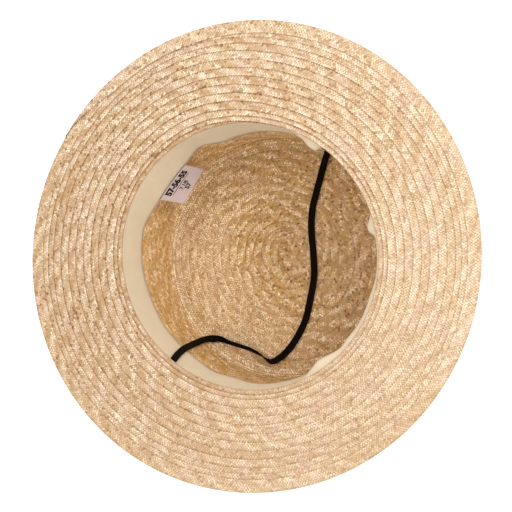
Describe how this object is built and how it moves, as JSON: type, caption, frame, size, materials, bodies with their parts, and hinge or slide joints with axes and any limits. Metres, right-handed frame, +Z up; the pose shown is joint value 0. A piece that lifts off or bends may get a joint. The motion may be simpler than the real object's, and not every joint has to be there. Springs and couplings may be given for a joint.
{
  "type": "straw boater hat",
  "caption": "Flat-topped straw hat of spirally sewn plait with a wide flat brim, lying on its crown top, with sweatband, woven label and a loose flat elastic.",
  "frame": {"origin": "on the surface that the hat rests on, under the middle of the flat crown top", "axes": "+Z up, out of the head opening; -Y towards the front of the hat, +Y towards its back with the label; the elastic is fixed at -X and +X"},
  "size_m": [0.3214, 0.3186, 0.092],
  "materials": {
    "straw": "natural straw plait, satin glints on the straws",
    "band_cloth": "matt cream cotton tape",
    "label_cloth": "matt woven tape",
    "elastic_cloth": "matt black braided elastic"
  },
  "bodies": {
    "root": {"brim": "straw", "crown_side": "straw", "crown_tip": "straw", "sweatband": "band_cloth", "label": "label_cloth", "elastic": "elastic_cloth"}
  },
  "joints": []
}
